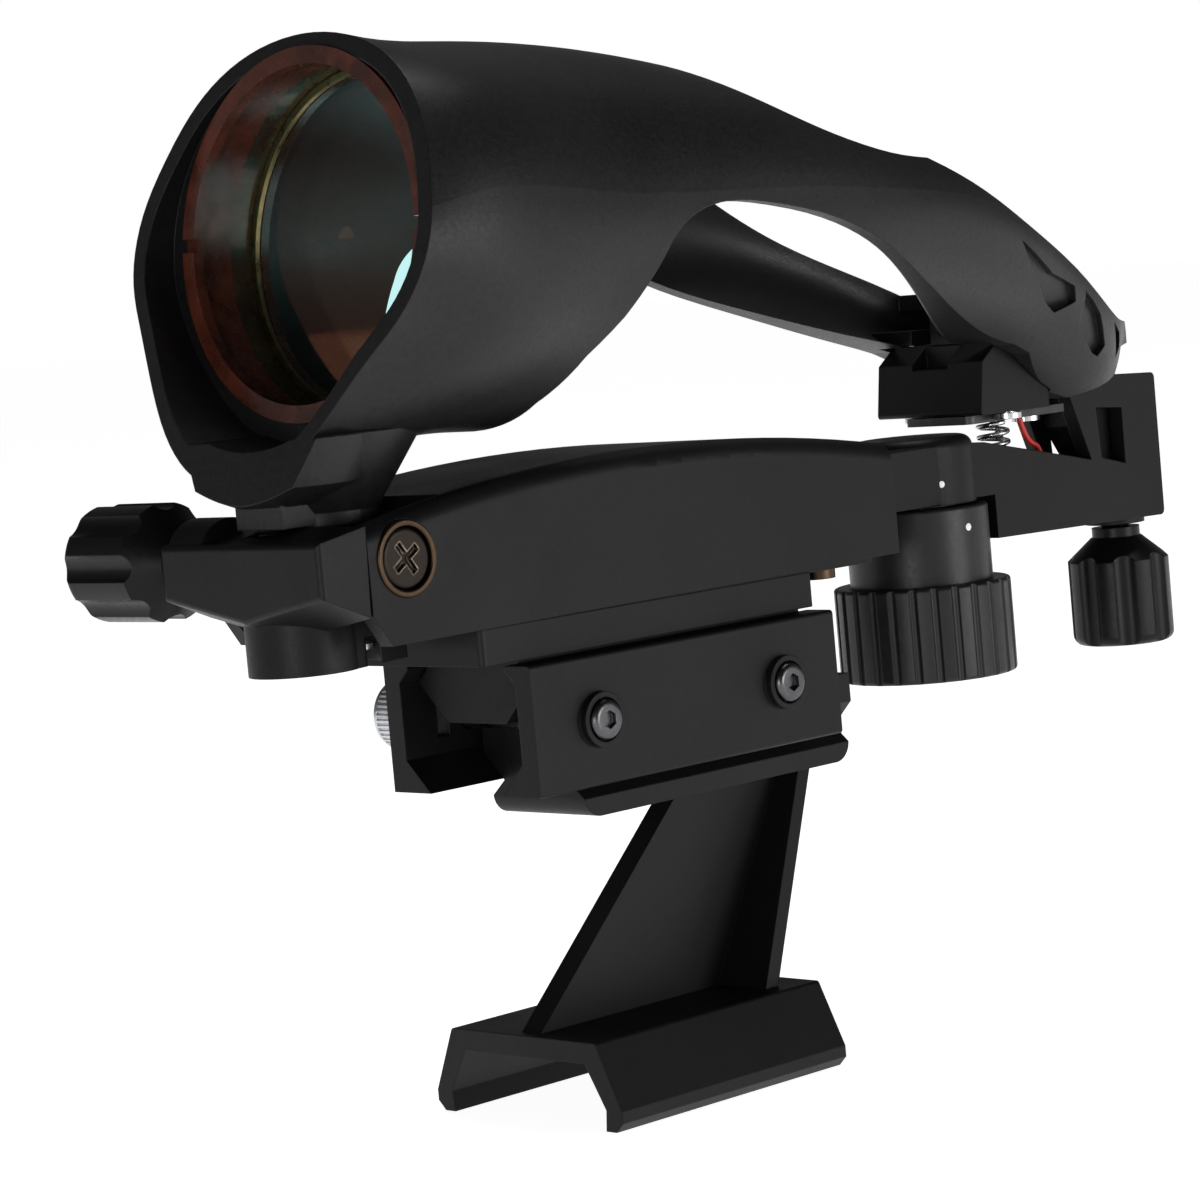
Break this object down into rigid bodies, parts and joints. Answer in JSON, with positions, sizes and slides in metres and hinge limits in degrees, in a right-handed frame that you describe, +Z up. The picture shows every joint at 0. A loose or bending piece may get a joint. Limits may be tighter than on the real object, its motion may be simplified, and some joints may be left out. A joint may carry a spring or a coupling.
{
  "type": "red dot finder",
  "caption": "Red dot finder: open hood with a round lens, clamped bar on a dovetail foot, altitude and azimuth screws, and a combined switch and brightness dial.",
  "frame": {"origin": "centre of the foot's underside, where the finder slides into the telescope's dovetail base", "axes": "+Z up, -Y towards the sky end (the lens), +Y towards the observer's end, +X the side with the bolt heads"},
  "size_m": [0.0593, 0.1689, 0.1335],
  "materials": {
    "black_moulding": "fine grained moulded black",
    "black_satin": "satin black",
    "steel": "plain bright steel",
    "dark_steel": "blackened steel",
    "bronze": "dark bronze",
    "brass": "plain brass",
    "coated_glass": "coated glass",
    "circuit_board": "green board",
    "switch_body": "black",
    "plate_metal": "black painted",
    "red_led": "clear red",
    "red_wire": "red insulation",
    "black_wire": "black insulation"
  },
  "bodies": {
    "bracket": {"bracket": "black_moulding", "far_jaw": "black_moulding"},
    "near_jaw": {"near_jaw": "black_moulding", "clamp_bolts": "steel"},
    "front_thumb_nut": {"front_thumb_nut": "steel"},
    "rear_thumb_nut": {"rear_thumb_nut": "steel"},
    "bar": {"bar_base": "black_moulding", "bar_cover": "black_moulding", "pivot_ferrules": "bronze", "cover_screws": "steel", "rotary_switch": "switch_body", "switch_board": "circuit_board", "altitude_spring": "steel", "red_lead": "red_wire", "black_lead": "black_wire"},
    "yoke": {"yoke": "black_moulding", "pivot_screws": "dark_steel", "azimuth_bush": "brass", "azimuth_insert": "brass", "azimuth_plunger": "steel", "azimuth_spring": "steel"},
    "hood": {"hood": "black_moulding", "lens_cell": "black_satin", "objective_lens": "coated_glass", "lens_spacer": "black_satin", "retaining_ring": "black_satin", "pivot_pin": "steel", "pivot_clip": "steel", "azimuth_lug": "dark_steel", "emitter_housing": "black_satin", "emitter_plate": "plate_metal", "emitter_board": "circuit_board", "emitter_screws": "steel", "led_holder": "black_satin", "led": "red_led", "reticle_disc": "plate_metal"},
    "azimuth_knob": {"azimuth_knob": "black_satin", "azimuth_screw": "dark_steel"},
    "altitude_knob": {"altitude_knob": "black_satin", "altitude_screw": "dark_steel", "altitude_clip": "steel"},
    "altitude_lifter": {"altitude_lifter": "black_moulding", "lifter_insert": "brass"},
    "dial": {"control_dial": "black_moulding", "battery_cap": "black_satin", "switch_shaft": "switch_body", "coin_cell": "steel", "battery_spring": "steel"}
  },
  "joints": [
    {"name": "clamp_open", "type": "slide", "parent": "bracket", "child": "near_jaw", "axis": [1, 0, 0], "range_m": [0, 0.0012]},
    {"name": "front_nut_turn", "type": "hinge", "parent": "bracket", "child": "front_thumb_nut", "pos_m": [-0.018, -0.0144, 0.0493], "axis": [1, 0, 0], "range_deg": [0, 881.3]},
    {"name": "rear_nut_turn", "type": "hinge", "parent": "bracket", "child": "rear_thumb_nut", "pos_m": [-0.018, 0.0181, 0.0493], "axis": [1, 0, 0], "range_deg": [0, 881.3]},
    {"name": "bar_slide", "type": "slide", "parent": "bracket", "child": "bar", "axis": [0, 1, 0], "range_m": [-0.004, 0.004]},
    {"name": "altitude", "type": "hinge", "parent": "bar", "child": "yoke", "pos_m": [0, -0.0434, 0.0722], "axis": [1, 0, 0], "range_deg": [0, 2.5], "deforming": ["altitude_spring", "red_lead", "black_lead"]},
    {"name": "azimuth", "type": "hinge", "parent": "yoke", "child": "hood", "pos_m": [0, -0.0434, 0.0722], "axis": [0, 0, 1], "range_deg": [-1.5, 1.5]},
    {"name": "azimuth_knob_turn", "type": "hinge", "parent": "yoke", "child": "azimuth_knob", "pos_m": [-0.02, -0.0516, 0.073], "axis": [1, 0, 0], "range_deg": [-157.7, 157.7]},
    {"name": "altitude_knob_turn", "type": "hinge", "parent": "bar", "child": "altitude_knob", "pos_m": [0, 0.1033, 0.055], "axis": [0, 0, 1], "range_deg": [0, 2350.4]},
    {"name": "lifter_slide", "type": "slide", "parent": "bar", "child": "altitude_lifter", "axis": [0, 0, 1], "range_m": [0, 0.00614]},
    {"name": "brightness", "type": "hinge", "parent": "bar", "child": "dial", "pos_m": [0, 0.0607, 0.0555], "axis": [0, 0, 1], "range_deg": [-20, 250]}
  ],
  "couplings": [
    {"joint": "front_nut_turn", "follows": "clamp_open", "rad_per_m": 12566},
    {"joint": "rear_nut_turn", "follows": "clamp_open", "rad_per_m": 12566},
    {"joint": "azimuth_knob_turn", "follows": "azimuth", "ratio": 103.04},
    {"joint": "altitude_knob_turn", "follows": "altitude", "ratio": 921.74},
    {"joint": "lifter_slide", "follows": "altitude", "m_per_rad": 0.138}
  ]
}
